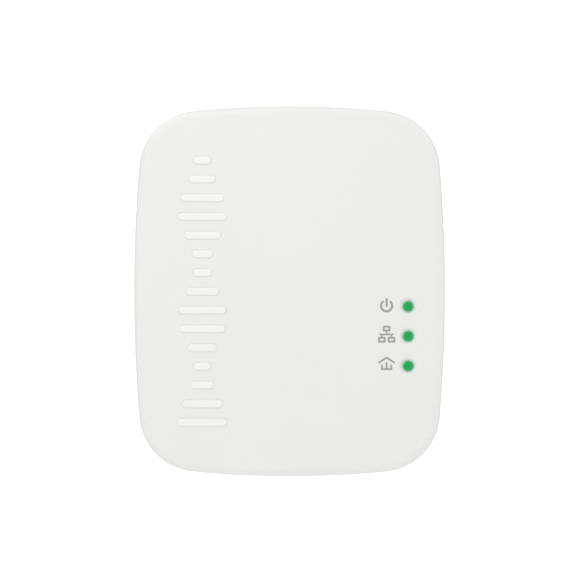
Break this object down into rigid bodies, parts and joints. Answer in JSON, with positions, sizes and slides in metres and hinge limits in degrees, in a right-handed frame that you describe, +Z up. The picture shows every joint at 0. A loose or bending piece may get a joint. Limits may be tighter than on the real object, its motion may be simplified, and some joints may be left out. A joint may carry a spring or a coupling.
{
  "type": "powerline network adapter",
  "caption": "Compact plug-in powerline adapter: rounded white two-shell case, three status lights, side button, network socket below and a two-pin mains plug behind.",
  "frame": {"origin": "centre of the plug boss's engagement face, halfway between the two pins", "axes": "+Y runs along the pins into the wall socket, the front face looks along -Y, +X is the right-hand side seen from the front and +Z is up"},
  "size_m": [0.056, 0.0641, 0.0666],
  "materials": {
    "shell": "fine satin white ABS, polished on the raised bars",
    "light_pipe": "clear polycarbonate, lit green from behind",
    "foam": "closed-cell black foam",
    "circuit_board": "green solder mask",
    "nickel": "nickel-plated brass",
    "steel": "zinc-plated screws",
    "heat_sink": "milled, bare",
    "crystal_can": "drawn can",
    "gold": "gold-flashed spring wire",
    "black_plastic": "moulding compound and black nylon",
    "sleeve": "insulating sleeve, satin",
    "label": "printed foil with no text",
    "insulation": "fish-paper sheet",
    "wire_brown": "PVC insulation",
    "wire_blue": "PVC insulation",
    "film_capacitor": "yellow moulded box",
    "blue_disc": "blue dipped epoxy",
    "ferrite": "sintered ferrite",
    "copper": "enamelled copper winding",
    "tape": "yellow transformer tape",
    "bobbin": "black bobbin",
    "capacitor_can": "shrink sleeve on an aluminium can",
    "epoxy": "cream nylon",
    "thermal_pad": "silicone pad",
    "led_package": "white reflector package"
  },
  "bodies": {
    "case": {"front_cover": "shell", "rear_housing": "shell", "rating_label": "label", "housing_screw_1": "steel", "housing_screw_2": "steel", "housing_screw_3": "steel", "housing_screw_4": "steel", "line_pin": "nickel", "line_pin_sleeve": "sleeve", "line_lead": "wire_brown", "neutral_pin": "nickel", "neutral_pin_sleeve": "sleeve", "neutral_lead": "wire_blue", "pin_clamp": "epoxy", "pin_clamp_screw": "steel", "main_board": "circuit_board", "processor_chip": "black_plastic", "thermal_pad": "thermal_pad", "heat_sink": "heat_sink", "memory_chip": "black_plastic", "flash_chip": "black_plastic", "crystal": "crystal_can", "lan_transformer": "black_plastic", "power_led": "led_package", "ethernet_led": "led_package", "powerline_led": "led_package", "light_pipe": "light_pipe", "light_shroud": "foam", "rj45_housing": "black_plastic", "rj45_contacts": "gold", "board_socket": "black_plastic", "power_board": "circuit_board", "board_header": "black_plastic", "mains_fuse": "black_plastic", "varistor": "blue_disc", "x_capacitor": "film_capacitor", "y_capacitor": "blue_disc", "bridge_rectifier": "black_plastic", "choke_core": "ferrite", "choke_winding_line": "copper", "choke_winding_neutral": "copper", "flyback_core": "ferrite", "flyback_bobbin": "bobbin", "flyback_winding": "tape", "power_controller": "black_plastic", "bulk_capacitor": "capacitor_can", "output_capacitor": "capacitor_can", "optocoupler": "black_plastic", "coupling_transformer": "ferrite", "pair_switch_body": "black_plastic", "reset_switch_body": "black_plastic", "insulation_sheet": "insulation"},
    "button": {"pair_button": "shell"},
    "pair_plunger": {"pair_switch_plunger": "epoxy"},
    "reset_plunger": {"reset_switch_plunger": "epoxy"}
  },
  "joints": [
    {"name": "pair_button_press", "type": "slide", "parent": "case", "child": "button", "axis": [-1, 0, 0], "range_m": [0, 0.0004]},
    {"name": "pair_plunger_press", "type": "slide", "parent": "case", "child": "pair_plunger", "axis": [-1, 0, 0], "range_m": [0, 0.0004]},
    {"name": "reset_plunger_press", "type": "slide", "parent": "case", "child": "reset_plunger", "axis": [0, 0, 1], "range_m": [0, 0.00025]}
  ],
  "couplings": [
    {"joint": "pair_plunger_press", "follows": "pair_button_press", "ratio": 1}
  ]
}
